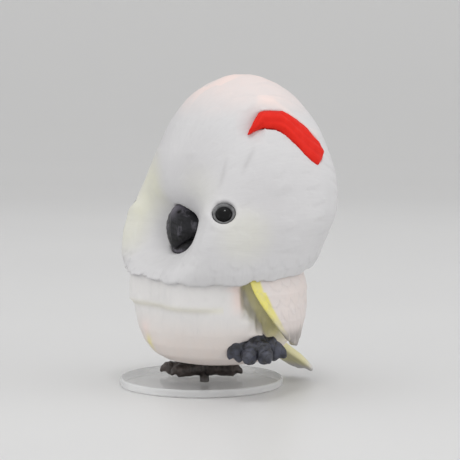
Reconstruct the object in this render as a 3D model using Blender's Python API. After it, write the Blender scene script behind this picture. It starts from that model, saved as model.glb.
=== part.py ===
"""White cockatoo figurine standing on one foot on a clear disc.

The frame has its origin at the centre of the underside of the disc, +Z up, and the bird
looks along -Y.  Angles round the bird are measured from its front, positive towards its
own left side (+X).  Dimensions are in millimetres until the meshes are made.
"""
import math

import bmesh
import bpy
import numpy as np

MM = 0.001

# Disc
DISC_DIAMETER = 27.0
DISC_THICKNESS = 1.3
DISC_EDGE_ROUND = 0.35
DISC_SEGMENTS = 64

# Bird as a whole.  Heights are measured from the top of the disc, and the tables below are
# written for a bird as tall as TABLE_HEIGHT
BIRD_HEIGHT = 50.0
TABLE_HEIGHT = 50.0
BODY_X = 4.6
BODY_Y = 0.3
FIT = 0.12
WING_FIT = 0.22

# Hood: height, radius and backward lean of the head and neck plumage
HOOD_PROFILE = (
    (16.0, 15.3, -0.4),
    (18.5, 15.9, -0.2),
    (21.0, 16.5, 0.0),
    (24.6, 17.2, 1.0),
    (27.2, 17.3, 2.2),
    (30.0, 16.6, 3.4),
    (33.0, 15.8, 4.2),
    (36.0, 14.7, 4.6),
    (39.0, 13.4, 4.8),
    (42.0, 12.0, 4.8),
    (44.5, 10.2, 4.7),
    (46.7, 8.2, 4.7),
    (48.5, 5.5, 4.7),
    (49.6, 2.9, 4.7),
)
HOOD_RINGS = 24
CROWN_FLAT = 0.08
HEM_ROUND = 0.45
HEM_HIGH = 20.0
HEM_DROP = 2.4
HEM_TURN = 37.0
HEM_LOBES = 16
HEM_LOBE_DEPTH = 0.55
HEM_OVERHANG = 0.5
TUFT_RELIEF = 0.16

# Face: the beak lies in a valley between two puffed cheeks, and the breast is flatter in front
FACE_HEIGHT = 25.8
VALLEY_DEPTH = 4.1
VALLEY_REACH_UP = 12.0
VALLEY_REACH_DOWN = 8.4
VALLEY_INNER_ANGLE = 17.0
VALLEY_OUTER_ANGLE = 49.0
POCKET_DEPTH = 5.9
POCKET_DROP = 1.2
POCKET_HALF_HEIGHT = 7.4
POCKET_SOFTNESS = 1.8
POCKET_INNER_ANGLE = 23.0
POCKET_OUTER_ANGLE = 49.0
FRONT_FLAT = 2.4
FRONT_FLAT_ANGLES = (4.0, 32.0)
FRONT_FLAT_START = (5.0, 14.0)
FRONT_FLAT_END = (21.0, 28.0)

# Torso: height and radius of breast and belly below the hood
TORSO_PROFILE = (
    (3.4, 6.4),
    (3.9, 8.6),
    (5.1, 10.7),
    (6.9, 12.1),
    (9.0, 13.0),
    (11.4, 13.5),
    (14.0, 13.9),
    (17.6, 13.7),
)
TORSO_LEVELS = (3.4, 3.9, 5.1, 6.9, 9.0, 11.2)
BREAST_HEM = 13.2
BREAST_EDGE = 0.22
BREAST_STEP = 0.65
BREAST_HALF_ANGLE = 58.0
BREAST_FADE_ANGLE = 14.0
FLANK_RECESS = 2.8
FLANK_START = 69.0
FLANK_SLANT = 4.0
FLANK_HEIGHT = 14.0
FLANK_END = 152.0
FLANK_BLEND = 9.0
BODY_SEGMENTS = 56

# Red crest tufts, one laid back along each side of the crown: angle, height, half width
CREST_PATH = (
    (60.0, 40.9, 0.35),
    (66.5, 42.6, 1.35),
    (73.5, 42.9, 1.65),
    (80.5, 42.9, 1.80),
    (89.0, 42.5, 2.00),
    (98.5, 41.3, 2.15),
    (107.5, 39.4, 2.15),
    (115.5, 37.9, 2.05),
    (119.0, 37.3, 1.45),
)
CREST_SINK = 1.3
CREST_RAISE = 0.55
CREST_FULL = 1.6
CREST_RINGS = 15
CREST_SIDES = 10

# Beak: height above FACE_HEIGHT, front and back forward of the head's axis, half width
UPPER_BEAK = (
    (3.4, 9.3, 7.0, 0.9),
    (2.8, 10.4, 5.8, 1.8),
    (1.7, 11.0, 4.8, 3.0),
    (0.5, 11.15, 4.0, 4.0),
    (-0.5, 11.15, 3.4, 4.5),
    (-1.3, 11.1, 5.0, 4.0),
    (-2.1, 11.0, 7.2, 2.9),
    (-2.9, 10.9, 8.9, 1.6),
    (-3.6, 10.8, 9.9, 0.5),
)
LOWER_BEAK = (
    (-1.4, 8.8, 3.4, 3.4),
    (-2.4, 9.8, 3.5, 3.8),
    (-3.4, 10.2, 4.2, 3.5),
    (-4.4, 10.0, 5.2, 2.8),
    (-5.3, 8.8, 6.6, 1.3),
)
BEAK_SIDES = 16
BEAK_RINGS = 12
BEAK_LEAN = 2.0

# Eyes: a plug sunk in the cheek, its raised ring of bare skin and the bead inside the ring
EYE_ANGLE = 51.0
EYE_ABOVE_FACE = 3.0
EYE_RING_RADIUS = 1.75
EYE_RING_LIP = 0.22
EYE_RING_RISE = 0.24
EYE_BEAD_RADIUS = 1.25
EYE_BEAD_RISE = 0.62
EYE_SEAT = 0.10
EYE_PLUG = 1.6
EYE_PLUG_TAPER = 0.3
EYE_SINK = 0.58
EYE_SEGMENTS = 20
EYE_BEAD_RINGS = 5

# Wings: front edge and back edge as angle and height, from shoulder to tip
WING_FRONT = ((74.0, 21.0), (75.5, 18.0), (78.5, 15.8), (84.0, 13.6),
              (90.5, 11.6), (97.5, 9.8), (107.5, 7.9), (122.0, 6.5))
WING_BACK = ((141.0, 21.0), (144.0, 18.0), (145.0, 15.8), (145.0, 13.6),
             (144.0, 11.6), (143.0, 9.6), (140.0, 7.7), (133.0, 6.4))
WING_RADIUS = ((5.0, 13.2), (8.0, 14.3), (11.0, 15.1), (14.0, 15.4), (17.0, 15.2), (21.0, 13.9))
WING_TUCK = 1.2
WING_THICKNESS = 1.25
WING_EDGE = 0.45
WING_RINGS = 14
WING_SPAN_POINTS = 10
WING_ROW_RELIEF = 0.22
WING_ROWS = 3

# Tail: distance behind the body's axis, height, half width, half thickness
TAIL_PATH = (
    (7.6, 7.6, 2.6, 0.85),
    (10.2, 6.1, 3.2, 0.90),
    (12.6, 4.4, 3.6, 0.85),
    (15.0, 2.7, 3.8, 0.75),
    (17.1, 1.1, 3.2, 0.50),
    (17.9, 0.5, 2.0, 0.30),
)
TAIL_RINGS = 10
TAIL_SIDES = 22
TAIL_FEATHERS = 5
TAIL_FEATHER_RELIEF = 0.16
TAIL_BOW = 0.5

# Feet: stations are share of the length, thickness in toe radii and share of the droop (toe)
# or drop in millimetres (claw); toes are heading and length
TOE_RADIUS = 1.27
TOE_STATIONS = ((-0.13, 0.80, 0.0), (0.24, 1.12, 0.05), (0.42, 0.92, 0.22),
                (0.62, 1.08, 0.45), (0.80, 0.88, 0.72), (1.0, 0.92, 1.0))
CLAW_STATIONS = ((0.45, 0.62, -0.10), (0.78, 0.42, 0.22), (1.0, 0.14, 0.62))
TOE_SIDES = 9
LEG_SIDES = 14
TOE_STEP = 0.04
CLAW_LENGTH = 1.5
ANKLE_RADIUS = 1.35
STAND_X = 0.4
STAND_Y = 0.3
STAND_HEADING = -26.0
STAND_TOES = ((-17.0, 5.9), (19.0, 4.6), (160.0, 4.9), (200.0, 4.5))
STAND_CURL = 0.35
LEG_REACH = 6.0
RAISED_ANGLE = 87.0
RAISED_OUT = 11.7
RAISED_HEIGHT = 7.5
RAISED_HEADING = 59.0
RAISED_TOES = ((-22.0, 3.5), (20.0, 3.6), (-70.0, 3.2), (82.0, 3.1))
RAISED_CURL = 1.7
RAISED_CLEARANCE = 1.0
SOLE_PEG_RADIUS = 0.8
SOLE_PEG_DEPTH = 0.9

MATERIALS = {
    "white plumage": ((0.80, 0.76, 0.73), 0.62),
    "red crest": ((0.72, 0.03, 0.02), 0.55),
    "dark horn": ((0.045, 0.045, 0.05), 0.38),
    "dark eye": ((0.02, 0.02, 0.022), 0.12),
    "grey skin": ((0.06, 0.062, 0.07), 0.50),
    "wing plumage": ((0.76, 0.68, 0.62), 0.62),
    "tail plumage": ((0.55, 0.54, 0.36), 0.62),
    "clear disc": ((0.80, 0.82, 0.83), 0.08),
}


# Curves

def follow(table, column, t):
    """Smooth value of one column of a table at the first column's value t."""
    xs = np.array([row[0] for row in table], float)
    ys = np.array([row[column] for row in table], float)
    slopes = np.gradient(ys, xs)
    t = np.clip(np.asarray(t, float), xs[0], xs[-1])
    k = np.clip(np.searchsorted(xs, t, side="right") - 1, 0, len(xs) - 2)
    width = xs[k + 1] - xs[k]
    u = (t - xs[k]) / width
    start = (1 + 2 * u) * (1 - u) ** 2 * ys[k] + u * (1 - u) ** 2 * width * slopes[k]
    end = u * u * (3 - 2 * u) * ys[k + 1] + u * u * (u - 1) * width * slopes[k + 1]
    return start + end


def along(table, t):
    """Smooth row of a table, t going from 0 at its first row to 1 at its last."""
    numbered = [(i / (len(table) - 1),) + tuple(row) for i, row in enumerate(table)]
    return [float(follow(numbered, c + 1, t)) for c in range(len(table[0]))]


def ease(value, low, high):
    """0 below low, 1 above high, smooth between."""
    t = np.clip((value - low) / (high - low), 0.0, 1.0)
    return t * t * (3 - 2 * t)


def lobes(angle, count):
    """Row of rounded feather tips round the body: 1 at a tip, 0 between two."""
    return np.abs(np.cos(np.radians(angle) * count / 2)) ** 0.6


# Mesh building

def mesh_object(name, points, faces, material):
    """Object made of points in millimetres, with faces turned outward."""
    mesh = bpy.data.meshes.new(name)
    mesh.from_pydata([tuple(np.array(p) * MM) for p in points], [], faces)
    work = bmesh.new()
    work.from_mesh(mesh)
    bmesh.ops.recalc_face_normals(work, faces=work.faces)
    work.to_mesh(mesh)
    work.free()
    made = bpy.data.objects.new(name, mesh)
    bpy.context.scene.collection.objects.link(made)
    made.data.materials.append(surface(material))
    for polygon in mesh.polygons:
        polygon.use_smooth = True
    return made


def surface(name):
    """Material by name, made the first time it is asked for."""
    found = bpy.data.materials.get(name)
    if found:
        return found
    colour, roughness = MATERIALS[name]
    made = bpy.data.materials.new(name)
    made.use_nodes = True
    shader = made.node_tree.nodes["Principled BSDF"]
    shader.inputs["Base Color"].default_value = (*colour, 1.0)
    shader.inputs["Roughness"].default_value = roughness
    shader.inputs["Metallic"].default_value = 0.0
    return made


def loft(name, rings, material):
    """Closed solid through rings of equal point counts, each end closed by a fan."""
    points = [p for ring in rings for p in ring]
    count = len(rings[0])
    faces = []
    for k in range(len(rings) - 1):
        for i in range(count):
            j = (i + 1) % count
            faces.append((k * count + i, k * count + j, (k + 1) * count + j, (k + 1) * count + i))
    for first, ring in ((0, rings[0]), ((len(rings) - 1) * count, rings[-1])):
        points.append(np.mean(np.array(ring), axis=0))
        centre = len(points) - 1
        faces += [(centre, first + i, first + (i + 1) % count) for i in range(count)]
    return mesh_object(name, points, faces, material)


def combine(target, others, operation):
    """Adds or removes the other solids and deletes them."""
    for other in others:
        cut = target.modifiers.new(operation.lower(), "BOOLEAN")
        cut.operation = operation
        cut.solver = "EXACT"
        cut.object = other
        graph = bpy.context.evaluated_depsgraph_get()
        result = bpy.data.meshes.new_from_object(target.evaluated_get(graph))
        target.modifiers.clear()
        old = target.data
        target.data = result
        bpy.data.meshes.remove(old)
        bpy.data.objects.remove(other)
    return target


def mirrored(points):
    """Points of the bird's left side turned into those of its right side."""
    flipped = np.array(points, float)
    flipped[..., 0] = 2 * BODY_X - flipped[..., 0]
    return flipped


def side_rings(rings, side):
    return rings if side > 0 else [mirrored(ring) for ring in rings]


# Body surface

def level(height):
    """Height in the tables turned into the height of a point of this bird."""
    return DISC_THICKNESS + np.asarray(height) * (BIRD_HEIGHT / TABLE_HEIGHT)


def off_front(angle):
    """How far an angle is from the bird's front, to either side."""
    return np.abs((np.asarray(angle) + 180.0) % 360.0 - 180.0)


def front_flat(angle, height):
    """How far the front of breast and chin is drawn in from round."""
    middle = 1 - ease(off_front(angle), *FRONT_FLAT_ANGLES)
    return FRONT_FLAT * middle * ease(height, *FRONT_FLAT_START) * (1 - ease(height, *FRONT_FLAT_END))


def hem_height(angle):
    """Lower edge of the hood: lowest at the left cheek, lobed with feather tips."""
    facing = np.cos(np.radians(np.asarray(angle) - HEM_TURN))
    edge = HEM_HIGH - HEM_DROP * ease(facing, -0.6, 1.0)
    return edge - HEM_LOBE_DEPTH * lobes(angle, HEM_LOBES)


def hood_radius(angle, height):
    """Radius of the head and neck plumage, with the valley that holds the beak."""
    aside = off_front(angle)
    radius = follow(HOOD_PROFILE, 1, height) - front_flat(angle, height)
    above = height - FACE_HEIGHT
    away = np.where(above > 0, above / VALLEY_REACH_UP, above / VALLEY_REACH_DOWN)
    tall = np.clip(1 - away ** 2, 0.0, 1.0) ** 2
    valley = VALLEY_DEPTH * tall * (1 - ease(aside, VALLEY_INNER_ANGLE, VALLEY_OUTER_ANGLE))
    away = (above + POCKET_DROP) / POCKET_HALF_HEIGHT
    near = np.clip(1 - away ** 2, 0.0, 1.0) ** POCKET_SOFTNESS
    pocket = POCKET_DEPTH * near * (1 - ease(aside, POCKET_INNER_ANGLE, POCKET_OUTER_ANGLE))
    tufts = TUFT_RELIEF * (lobes(angle, HEM_LOBES) - 0.5) * ease(TABLE_HEIGHT - height, 2.0, 12.0)
    return radius - valley - pocket + tufts


def hood_point(angle, height, lift=0.0):
    turn = np.radians(angle)
    reach = hood_radius(angle, height) + lift
    return np.array([BODY_X + reach * np.sin(turn),
                     BODY_Y + follow(HOOD_PROFILE, 2, height) - reach * np.cos(turn),
                     level(height)])


def hood_frame(angle, height):
    """Point on the hood with its outward and its upward direction there."""
    step = 0.5
    here = hood_point(angle, height)
    up = hood_point(angle, height + step) - hood_point(angle, height - step)
    side = hood_point(angle + step, height) - hood_point(angle - step, height)
    out = np.cross(side, up)
    return here, out / np.linalg.norm(out), up / np.linalg.norm(up)


def torso_radius(angle, height):
    """Radius of breast and belly, drawn in under the wings and below the breast's edge."""
    aside = off_front(angle)
    start = FLANK_START + FLANK_SLANT * np.clip(FLANK_HEIGHT - height, 0.0, None)
    under_wing = ease(aside, start, start + FLANK_BLEND)
    under_wing *= 1 - ease(aside, FLANK_END - FLANK_BLEND, FLANK_END)
    in_front = 1 - ease(aside, BREAST_HALF_ANGLE - BREAST_FADE_ANGLE, BREAST_HALF_ANGLE)
    above = ease(height, BREAST_HEM - BREAST_EDGE, BREAST_HEM + BREAST_EDGE)
    return (follow(TORSO_PROFILE, 1, height) - front_flat(angle, height)
            - FLANK_RECESS * under_wing + BREAST_STEP * in_front * above)


def ring_angles():
    return np.arange(BODY_SEGMENTS) * 360.0 / BODY_SEGMENTS


def torso_rings():
    angles = ring_angles()
    turn = np.radians(angles)
    top = hem_height(angles) + HEM_OVERHANG
    breast = BREAST_HEM + BREAST_EDGE
    levels = [*TORSO_LEVELS, BREAST_HEM - BREAST_EDGE, breast, (breast + top) / 2, top]
    rings = []
    for height in levels:
        reach = torso_radius(angles, height)
        rings.append(np.stack([BODY_X + reach * np.sin(turn), BODY_Y - reach * np.cos(turn),
                               level(height) + 0 * turn], axis=1))
    return rings


def hood_rings():
    angles = ring_angles()
    hem = hem_height(angles)
    rings = []
    for k in range(HOOD_RINGS):
        share = (k / (HOOD_RINGS - 1)) ** 0.92
        height = hem + (HOOD_PROFILE[-1][0] - hem) * share
        lift = -HEM_ROUND if k == 0 else 0.0
        rings.append(hood_point(angles, height, lift).T)
    crown = rings[-1].copy()
    middle = crown.mean(axis=0)
    crown[:, :2] = middle[:2] + (crown[:, :2] - middle[:2]) * 0.5
    crown[:, 2] = level(TABLE_HEIGHT - CROWN_FLAT)
    return rings + [crown]


# Pieces

def crest_rings(side, grow=0.0):
    """Red tuft: a tapering band sunk into the side of the crown."""
    rings = []
    for k in range(CREST_RINGS):
        angle, height, half = along(CREST_PATH, k / (CREST_RINGS - 1))
        here, out, _ = hood_frame(angle, height)
        ahead = hood_point(*along(CREST_PATH, min(1.0, (k + 1) / (CREST_RINGS - 1)))[:2])
        behind = hood_point(*along(CREST_PATH, max(0.0, (k - 1) / (CREST_RINGS - 1)))[:2])
        run = (ahead - behind) / np.linalg.norm(ahead - behind)
        across = np.cross(out, run)
        end = -1 if k == 0 else 1 if k == CREST_RINGS - 1 else 0
        proud = CREST_RAISE * min(1.0, half / CREST_FULL)
        centre = here + out * (proud - CREST_SINK) / 2 + run * end * grow
        deep = (proud + CREST_SINK) / 2 + grow
        ring = []
        for i in range(CREST_SIDES):
            turn = 2 * math.pi * (i + 0.5) / CREST_SIDES
            ring.append(centre + across * math.cos(turn) * (half + grow) + out * math.sin(turn) * deep)
        rings.append(np.array(ring))
    return side_rings(rings, side)


def beak_rings(levels, grow=0.0):
    """One mandible: level oval sections stacked from its root down to its tip."""
    rings = []
    for k in range(BEAK_RINGS):
        height, front, back, half = along(levels, k / (BEAK_RINGS - 1))
        end = 1 if k == 0 else -1 if k == BEAK_RINGS - 1 else 0
        middle = (front + back) / 2
        deep = (front - back) / 2 + grow
        turns = 2 * np.pi * np.arange(BEAK_SIDES) / BEAK_SIDES
        rings.append(np.stack([BODY_X + np.sin(turns) * (half + grow),
                               BODY_Y + BEAK_LEAN - middle - np.cos(turns) * deep,
                               np.full(BEAK_SIDES, level(FACE_HEIGHT + height) + end * grow)],
                              axis=1))
    return rings


def eye_rings(side, grow=0.0):
    """Round plug with a raised skin ring and a domed bead in its middle."""
    here, out, up = hood_frame(EYE_ANGLE, FACE_HEIGHT + EYE_ABOVE_FACE)
    here = here - out * EYE_SINK
    across = np.cross(up, out)
    up = np.cross(out, across)
    ring_r = EYE_RING_RADIUS
    bead_r = EYE_BEAD_RADIUS
    seat = EYE_RING_RISE - EYE_SEAT
    profile = [(-EYE_PLUG - grow, ring_r - EYE_PLUG_TAPER + grow), (-EYE_PLUG * 0.7, ring_r + grow)]
    if grow:
        profile += [(EYE_RING_RISE + EYE_PLUG, ring_r + grow)]
    else:
        profile += [(seat, ring_r), (EYE_RING_RISE, ring_r - EYE_RING_LIP),
                    (seat, bead_r + EYE_SEAT), (seat, bead_r)]
        for step in range(1, EYE_BEAD_RINGS + 1):
            turn = math.radians(75.0 * step / EYE_BEAD_RINGS)
            profile.append((seat + EYE_BEAD_RISE * math.sin(turn), bead_r * math.cos(turn)))
    rings = []
    for rise, radius in profile:
        turns = 2 * np.pi * np.arange(EYE_SEGMENTS) / EYE_SEGMENTS
        ring = (here + out * rise + np.outer(np.cos(turns), across) * radius
                + np.outer(np.sin(turns), up) * radius)
        rings.append(ring)
    return side_rings(rings, side)


def wing_rings(side, grow=0.0):
    """Folded wing standing off the flank, with three rows of feathers on its outside."""
    rings = []
    for k in range(WING_RINGS):
        t = k / (WING_RINGS - 1)
        front = along(WING_FRONT, t)
        back = along(WING_BACK, t)
        share = np.linspace(0.0, 1.0, WING_SPAN_POINTS)
        angle = front[0] + (back[0] - front[0]) * share
        height = front[1] + (back[1] - front[1]) * share
        if grow:
            angle = angle + (share - 0.5) * 2 * math.degrees(grow / 14.0)
            height = height + (grow if k == 0 else 0.0)
        edge = 1 - np.abs(2 * share - 1) ** 4
        thick = WING_EDGE + (WING_THICKNESS - WING_EDGE) * edge
        row = (t * WING_ROWS) % 1.0
        feather = WING_ROW_RELIEF * row * edge * (0.6 + 0.4 * np.abs(np.sin(share * np.pi * 5)))
        middle = follow(WING_RADIUS, 1, height) - WING_TUCK * share ** 2
        outer = middle + feather + grow
        inner = middle - thick - grow
        turn = np.radians(angle)
        z = level(height)

        def shell(reach):
            return np.stack([BODY_X + reach * np.sin(turn), BODY_Y - reach * np.cos(turn), z],
                            axis=1)

        rings.append(np.concatenate([shell(outer), shell(inner)[::-1]]))
    return side_rings(rings, side)


def tail_rings(grow=0.0):
    """Short fan of tail feathers that drops behind the disc."""
    rings = []
    for k in range(TAIL_RINGS):
        t = k / (TAIL_RINGS - 1)
        behind, height, half, thick = along(TAIL_PATH, t)
        ahead = along(TAIL_PATH, min(1.0, t + 0.03))
        before = along(TAIL_PATH, max(0.0, t - 0.03))
        run = np.array([0.0, ahead[0] - before[0], ahead[1] - before[1]])
        run /= np.linalg.norm(run)
        over = np.cross([1.0, 0.0, 0.0], run)
        centre = np.array([BODY_X, BODY_Y + behind, level(height)])
        centre = centre - run * (grow if k == 0 else 0.0)
        ring = []
        for i in range(TAIL_SIDES):
            turn = 2 * math.pi * i / TAIL_SIDES
            across = math.cos(turn)
            ridge = TAIL_FEATHER_RELIEF * abs(math.sin(across * math.pi * TAIL_FEATHERS / 2)) * t
            rise = math.copysign(abs(math.sin(turn)) ** 0.7, math.sin(turn))
            bow = -TAIL_BOW * across * across
            ring.append(centre + np.array([across * (half + grow), 0.0, 0.0])
                        + over * (rise * (thick + grow) + bow + (ridge if rise > 0 else 0.0)))
        rings.append(np.array(ring))
    return rings


def tube(name, path, material, sides=TOE_SIDES):
    """Round solid along (x, y, z, radius) stations."""
    path = np.array(path, float)
    rings = []
    for k, station in enumerate(path):
        ahead = path[min(k + 1, len(path) - 1), :3]
        behind = path[max(k - 1, 0), :3]
        run = (ahead - behind) / np.linalg.norm(ahead - behind)
        across = np.cross(run, [0.0, 0.0, 1.0])
        if np.linalg.norm(across) < 0.1:
            across = np.array([1.0, 0.0, 0.0])
        across /= np.linalg.norm(across)
        over = np.cross(across, run)
        ring = []
        for i in range(sides):
            turn = 2 * math.pi * i / sides
            ring.append(station[:3] + (across * math.cos(turn) + over * math.sin(turn)) * station[3])
        rings.append(np.array(ring))
    return loft(name, rings, material)


def toe(name, start, heading, length, curl, floor, grow):
    """Toe with two knuckles and a hooked claw, drooping by curl over its length."""
    turn = math.radians(heading)
    direction = np.array([math.sin(turn), -math.cos(turn)])
    path = []
    for share, thick, droop in TOE_STATIONS:
        spot = start[:2] + direction * length * share
        radius = TOE_RADIUS * thick
        height = max(start[2] - curl * droop, floor + radius)
        path.append((*spot, height, radius + grow))
    tip = path[-1]
    for share, thick, drop in CLAW_STATIONS:
        spot = np.array(tip[:2]) + direction * (CLAW_LENGTH + grow) * share
        radius = TOE_RADIUS * thick
        height = max(tip[2] - drop, floor + radius + TOE_STEP / 2)
        path.append((*spot, height, radius + grow))
    return tube(name, path, "grey skin")


def foot_parts(name, ankle, leg_top, heading, toes, curl, floor, grow=0.0):
    """Short leg and four toes in two pairs, each a solid of its own."""
    ankle = np.array(ankle, float)
    leg_top = np.array(leg_top, float)
    run = (leg_top - ankle) / np.linalg.norm(leg_top - ankle)
    leg = [(*(ankle - run * 0.4), ANKLE_RADIUS * 0.8 + grow),
           (*(ankle + run * 0.5), ANKLE_RADIUS + grow),
           (*(leg_top + run * grow), ANKLE_RADIUS + grow)]
    parts = [tube(name, leg, "grey skin", LEG_SIDES)]
    for number, (turn, length) in enumerate(toes):
        rise = TOE_STEP * number
        parts.append(toe(f"{name}_toe_{number}", ankle + np.array([0.0, 0.0, rise]),
                         heading + turn, length, curl, floor + rise / 2, grow))
    return parts


def standing_parts(grow=0.0):
    sole = DISC_THICKNESS + FIT
    ankle = (STAND_X, STAND_Y, sole + TOE_RADIUS * 1.1)
    leg_top = (STAND_X, STAND_Y, DISC_THICKNESS + LEG_REACH)
    return foot_parts("right_foot", ankle, leg_top, STAND_HEADING, STAND_TOES, STAND_CURL, sole, grow)


def raised_parts(grow=0.0):
    turn = math.radians(RAISED_ANGLE)
    away = np.array([math.sin(turn), -math.cos(turn), 0.0])
    base = np.array([BODY_X, BODY_Y, level(RAISED_HEIGHT)])
    ankle = base + away * RAISED_OUT
    leg_top = base + away * (RAISED_OUT - LEG_REACH * 0.6) + np.array([0.0, 0.0, LEG_REACH * 0.5])
    return foot_parts("left_foot", ankle, leg_top, RAISED_HEADING, RAISED_TOES, RAISED_CURL,
                      DISC_THICKNESS + RAISED_CLEARANCE, grow)


def disc():
    """Clear disc with rounded edges and a hole for the peg under the standing foot."""
    half = DISC_DIAMETER / 2
    e = DISC_EDGE_ROUND
    profile = [(0.0, half - e), (e * 0.3, half - e * 0.3), (e, half),
               (DISC_THICKNESS - e, half), (DISC_THICKNESS - e * 0.3, half - e * 0.3),
               (DISC_THICKNESS, half - e)]
    turns = 2 * np.pi * np.arange(DISC_SEGMENTS) / DISC_SEGMENTS
    rings = [np.stack([np.cos(turns) * r, np.sin(turns) * r, np.full(DISC_SEGMENTS, z)], axis=1)
             for z, r in profile]
    whole = loft("base_disc", rings, "clear disc")
    hole = tube("hole", [(STAND_X, STAND_Y, DISC_THICKNESS - SOLE_PEG_DEPTH - FIT,
                          SOLE_PEG_RADIUS + FIT),
                         (STAND_X, STAND_Y, DISC_THICKNESS + 1.0, SOLE_PEG_RADIUS + FIT)],
                "clear disc", LEG_SIDES)
    return combine(whole, [hole], "DIFFERENCE")


def standing_foot():
    """Foot on the disc, with the peg under it that holds the bird."""
    parts = standing_parts()
    high = DISC_THICKNESS + FIT + TOE_RADIUS
    peg = tube("peg", [(STAND_X, STAND_Y, DISC_THICKNESS - SOLE_PEG_DEPTH, SOLE_PEG_RADIUS),
                       (STAND_X, STAND_Y, high, SOLE_PEG_RADIUS)], "grey skin", LEG_SIDES)
    return combine(parts[0], parts[1:] + [peg], "UNION")


def raised_foot():
    parts = raised_parts()
    return combine(parts[0], parts[1:], "UNION")


def body():
    whole = loft("body", torso_rings() + hood_rings(), "white plumage")
    cutters = []
    for side in (1, -1):
        cutters.append(loft("cutter", crest_rings(side, FIT), "red crest"))
        cutters.append(loft("cutter", eye_rings(side, FIT), "dark eye"))
        cutters.append(loft("cutter", wing_rings(side, WING_FIT), "wing plumage"))
    cutters.append(loft("cutter", beak_rings(UPPER_BEAK, FIT), "dark horn"))
    cutters.append(loft("cutter", beak_rings(LOWER_BEAK, FIT), "dark horn"))
    cutters.append(loft("cutter", tail_rings(FIT), "tail plumage"))
    for parts in (standing_parts(FIT), raised_parts(FIT)):
        cutters.append(combine(parts[0], parts[1:], "UNION"))
    combine(whole, cutters, "DIFFERENCE")
    return whole


def build():
    for old in list(bpy.context.scene.objects):
        bpy.data.objects.remove(old)
    disc()
    body()
    for side, word in ((1, "left"), (-1, "right")):
        loft(f"crest_{word}", crest_rings(side), "red crest")
        loft(f"eye_{word}", eye_rings(side), "dark eye")
        loft(f"wing_{word}", wing_rings(side), "wing plumage")
    upper = loft("beak", beak_rings(UPPER_BEAK), "dark horn")
    combine(upper, [loft("lower", beak_rings(LOWER_BEAK), "dark horn")], "UNION")
    loft("tail", tail_rings(), "tail plumage")
    standing_foot()
    raised_foot()


build()
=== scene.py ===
"""Looks of the white cockatoo figurine on its clear disc.

Each piece is a finer copy of its CAD solid, with feathers, growth lines or scales raised on it.
Values stored at its points tell the paints where each tint goes.
"""
import math

import bmesh
import bpy
import numpy as np
from mathutils import Matrix, Vector


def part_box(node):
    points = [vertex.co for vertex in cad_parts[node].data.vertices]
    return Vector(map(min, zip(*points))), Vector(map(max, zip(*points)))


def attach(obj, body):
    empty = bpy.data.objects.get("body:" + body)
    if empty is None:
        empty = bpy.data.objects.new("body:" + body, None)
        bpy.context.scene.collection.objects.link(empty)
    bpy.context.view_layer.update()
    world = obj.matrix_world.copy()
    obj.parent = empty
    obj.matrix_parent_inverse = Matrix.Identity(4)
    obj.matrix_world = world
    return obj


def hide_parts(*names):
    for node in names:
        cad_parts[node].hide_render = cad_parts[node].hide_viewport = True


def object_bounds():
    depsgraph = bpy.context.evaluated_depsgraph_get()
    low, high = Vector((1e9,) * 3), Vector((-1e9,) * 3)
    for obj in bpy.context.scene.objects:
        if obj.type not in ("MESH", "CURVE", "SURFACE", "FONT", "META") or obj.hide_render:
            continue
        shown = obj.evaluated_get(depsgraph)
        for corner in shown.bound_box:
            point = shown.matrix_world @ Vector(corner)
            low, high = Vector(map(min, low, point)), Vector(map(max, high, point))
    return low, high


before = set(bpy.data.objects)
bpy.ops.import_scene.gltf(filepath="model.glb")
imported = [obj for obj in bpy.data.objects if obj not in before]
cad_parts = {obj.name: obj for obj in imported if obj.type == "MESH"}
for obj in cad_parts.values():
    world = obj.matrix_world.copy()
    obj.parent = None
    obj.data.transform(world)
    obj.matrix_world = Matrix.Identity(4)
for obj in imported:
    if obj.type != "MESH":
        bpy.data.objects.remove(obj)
cad_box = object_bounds()

MM = 0.001
COARSE = 1.0

# Places repeated from the part's source, in millimetres and degrees. Heights count from the
# disc's top, and angles go round the bird from its front, positive towards its left.
DISC_TOP = 1.3
DISC_RADIUS = 13.5
BODY = (4.6, 0.3)
FACE_HEIGHT = 25.8
BEAK_ROOT = (4.6, -6.3, 26.9)
BREAST_HEM = 13.2
EYE_RADIUS = 1.75
EYE_SEAT_TO_TIP = 0.60
HEM_HIGH = 20.0
HEM_DROP = 2.4
HEM_TURN = 37.0
HEM_LOBES = 8
HEM_LOBE_DEPTH = 0.55
HOOD_LEAN = ((16.0, -0.4), (21.0, 0.0), (27.2, 2.2), (33.0, 4.2), (50.0, 4.7))
CREST_LINE = ((60.0, 40.9), (73.5, 42.9), (89.0, 42.5), (107.5, 39.4), (119.0, 37.3))
WING_FRONT = ((6.5, 122.0), (7.9, 107.5), (9.8, 97.5), (11.6, 90.5), (13.6, 84.0), (15.8, 78.5),
              (18.0, 75.5), (21.0, 74.0))
RIGHT_FOOT = (0.4, 0.3)
LEFT_FOOT = (15.9, -0.3)

# Middle of the round head, from which the crown curves away on all sides
DOME = (BODY[0], BODY[1] + 3.0, DISC_TOP + 28.0)

# Fineness of each mesh, as the side of its cells in millimetres, and rounds of smoothing
BODY_MESH = (0.285, 6)
WING_MESH = (0.14, 6)
TAIL_MESH = (0.14, 4)
CREST_MESH = (0.12, 5)
BEAK_MESH = (0.10, 5)
FOOT_MESH = (0.12, 3)
EYE_STEPS = 64
DISC_STEPS = 192

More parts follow.
